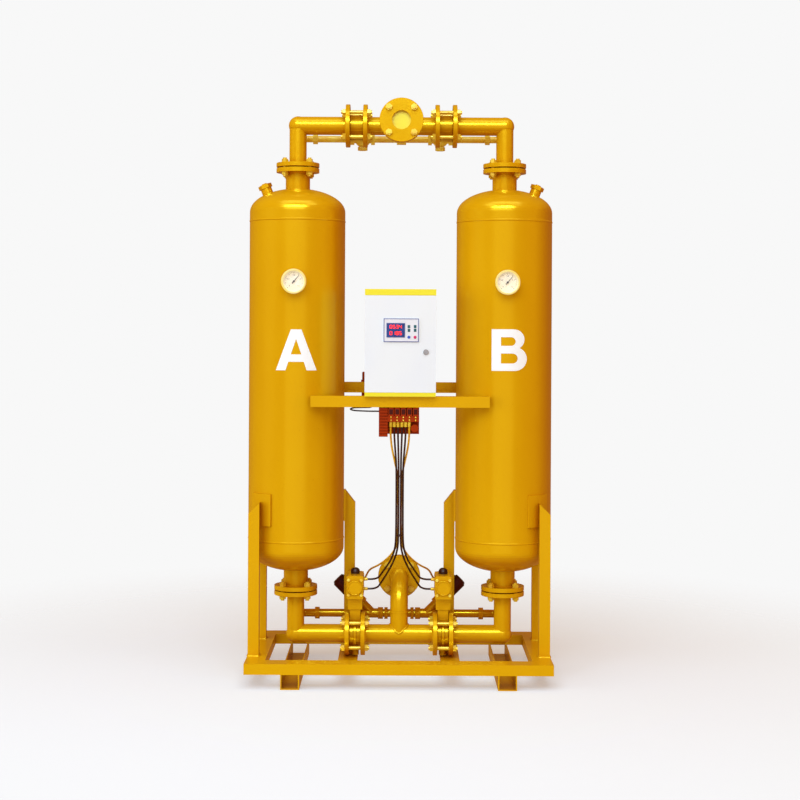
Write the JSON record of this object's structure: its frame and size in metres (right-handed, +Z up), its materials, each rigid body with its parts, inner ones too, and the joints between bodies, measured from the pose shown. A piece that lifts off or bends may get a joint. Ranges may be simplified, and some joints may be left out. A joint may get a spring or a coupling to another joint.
{
  "type": "desiccant air dryer",
  "caption": "Twin-tower desiccant compressed-air dryer on a steel skid, with flanged pipework, pneumatic inlet valves, tower gauges and a timer cabinet with a hinged door.",
  "frame": {"origin": "centre of the footprint, on the floor", "axes": "+Z up, +X towards tower B, -Y towards the side with the gauges and the cabinet"},
  "size_m": [1.271, 0.7, 2.38],
  "materials": {
    "amber_paint": "gloss",
    "zinc_plate": "satin",
    "gauge_case": "gloss",
    "dial_face": "matte",
    "clear_glass": "gloss",
    "black_enamel": "matte",
    "steel": "satin",
    "silencer": "satin",
    "dark_cast": "satin",
    "desiccant": "matte",
    "gasket_rubber": "matte",
    "trim_yellow": "gloss",
    "box_white": "satin",
    "panel_plastic": "gloss",
    "button_blue": "gloss",
    "button_red": "gloss",
    "controller_green": "matte",
    "tube_plastic": "satin",
    "cable_rubber": "matte"
  },
  "bodies": {
    "dryer": {"base_frame": "amber_paint", "tower_a_legs": "amber_paint", "tower_b_legs": "amber_paint", "front_support_beam": "amber_paint", "rear_support_beam": "amber_paint", "vessel_a": "amber_paint", "vessel_b": "amber_paint", "desiccant_beds": "desiccant", "bed_screens": "steel", "fill_caps": "amber_paint", "gauge_cases": "gauge_case", "gauge_dials": "dial_face", "gauge_glasses": "clear_glass", "outlet_spool_a": "amber_paint", "outlet_spool_b": "amber_paint", "outlet_tee": "amber_paint", "outlet_companion_flange": "amber_paint", "check_valve_a_body": "amber_paint", "check_valve_b_body": "amber_paint", "purge_end_pipes": "zinc_plate", "purge_bridge": "zinc_plate", "purge_check_valves": "zinc_plate", "inlet_spool_a": "amber_paint", "inlet_spool_b": "amber_paint", "inlet_tee": "amber_paint", "inlet_companion_flange": "amber_paint", "butterfly_a_body": "amber_paint", "butterfly_b_body": "amber_paint", "actuator_a": "amber_paint", "actuator_b": "amber_paint", "exhaust_pipes": "amber_paint", "exhaust_valves": "amber_paint", "exhaust_actuators": "dark_cast", "exhaust_tee": "amber_paint", "muffler": "silencer", "flange_gaskets": "gasket_rubber", "flange_bolts": "zinc_plate", "port_covers": "trim_yellow", "control_box": "box_white", "box_trims": "trim_yellow", "controller_plate": "controller_green", "solenoid_bank": "dark_cast", "push_in_fittings": "zinc_plate", "air_tubes_a": "tube_plastic", "air_tubes_b": "tube_plastic", "control_cable": "cable_rubber", "pilot_filter": "dark_cast"},
    "door": {"control_door": "box_white", "display_panel": "panel_plastic"},
    "lock": {"door_lock": "steel"},
    "run_button": {"run_button": "button_blue"},
    "stop_button": {"stop_button": "button_red"},
    "needle_a": {"gauge_a_needle": "black_enamel"},
    "needle_b": {"gauge_b_needle": "black_enamel"},
    "disc_a": {"butterfly_a_disc": "steel", "position_indicator_a": "dark_cast"},
    "disc_b": {"butterfly_b_disc": "steel", "position_indicator_b": "dark_cast"},
    "flap_a": {"check_valve_a_flap": "steel"},
    "flap_b": {"check_valve_b_flap": "steel"}
  },
  "joints": [
    {"name": "door_hinge", "type": "hinge", "parent": "dryer", "child": "door", "pos_m": [-0.139, -0.24965, 1.383], "axis": [0, 0, -1], "range_deg": [0, 110]},
    {"name": "lock_turn", "type": "hinge", "parent": "door", "child": "lock", "pos_m": [0.103, -0.26065, 1.346], "axis": [0, -1, 0], "range_deg": [0, 90]},
    {"name": "run_press", "type": "slide", "parent": "door", "child": "run_button", "axis": [0, 1, 0], "range_m": [0, 0.002], "stiffness_N_per_m": 300},
    {"name": "stop_press", "type": "slide", "parent": "door", "child": "stop_button", "axis": [0, 1, 0], "range_m": [0, 0.002], "stiffness_N_per_m": 300},
    {"name": "needle_a_turn", "type": "hinge", "parent": "dryer", "child": "needle_a", "pos_m": [-0.434, -0.214, 1.63], "axis": [0, 1, 0], "range_deg": [-175, 95], "stiffness_Nm_per_rad": 0.005},
    {"name": "needle_b_turn", "type": "hinge", "parent": "dryer", "child": "needle_b", "pos_m": [0.434, -0.214, 1.63], "axis": [0, 1, 0], "range_deg": [-175, 95], "stiffness_Nm_per_rad": 0.005},
    {"name": "disc_a_turn", "type": "hinge", "parent": "dryer", "child": "disc_a", "pos_m": [-0.184, 0, 0.16], "axis": [0, 0, 1], "range_deg": [0, 90]},
    {"name": "disc_b_turn", "type": "hinge", "parent": "dryer", "child": "disc_b", "pos_m": [0.184, 0, 0.16], "axis": [0, 0, -1], "range_deg": [0, 90]},
    {"name": "flap_a_swing", "type": "hinge", "parent": "dryer", "child": "flap_a", "pos_m": [-0.2027, 0, 2.319], "axis": [0, -1, 0], "range_deg": [0, 50]},
    {"name": "flap_b_swing", "type": "hinge", "parent": "dryer", "child": "flap_b", "pos_m": [0.2027, 0, 2.319], "axis": [0, 1, 0], "range_deg": [0, 50]}
  ]
}
